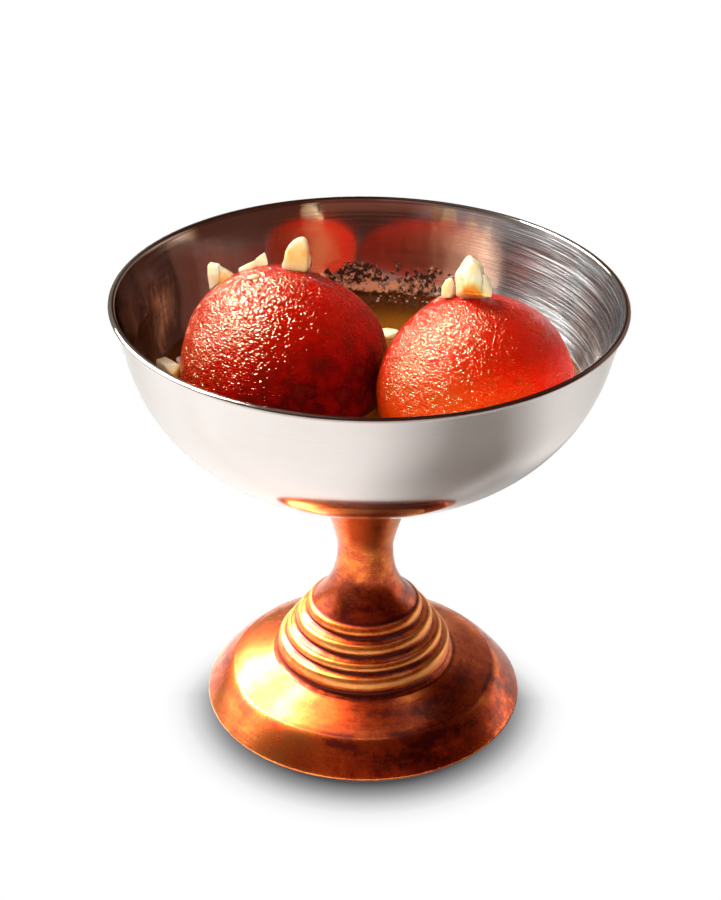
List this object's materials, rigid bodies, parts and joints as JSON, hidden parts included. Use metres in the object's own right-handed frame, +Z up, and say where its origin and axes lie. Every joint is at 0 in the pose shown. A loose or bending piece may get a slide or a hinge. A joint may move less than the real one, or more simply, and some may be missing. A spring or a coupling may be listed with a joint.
{
  "type": "gulab jamun in a footed bowl",
  "caption": "Round fried milk sweets standing in amber sugar syrup, topped with chopped nuts, served in a flared brushed steel bowl on a turned copper stem and stepped foot.",
  "frame": {"origin": "centre of the foot's underside, on the surface that the cup stands on", "axes": "+Z up along the turned axis of the bowl and foot; +X to the right and -Y towards the side from which both sweets are seen"},
  "size_m": [0.104, 0.104, 0.1092],
  "materials": {
    "steel": "fine circumferential brushing, bright inside and out",
    "copper": "turned copper with a worn, mottled brown patina in the grooves",
    "syrup": "clear amber sugar syrup, glossy",
    "fried_dough": "deep red-brown fried skin, finely wrinkled and wet with syrup",
    "nut": "cream-coloured chopped nut with warm yellow cut faces"
  },
  "bodies": {
    "root": {"bowl": "steel", "copper_foot": "copper", "syrup": "syrup", "gulab_jamun_left": "fried_dough", "gulab_jamun_right": "fried_dough", "nut_shoulder": "nut", "nut_shard": "nut", "nut_sliver": "nut", "nut_peak": "nut", "nut_crown": "nut", "nut_crumb": "nut", "nut_floating": "nut", "nut_at_wall": "nut"}
  },
  "joints": []
}
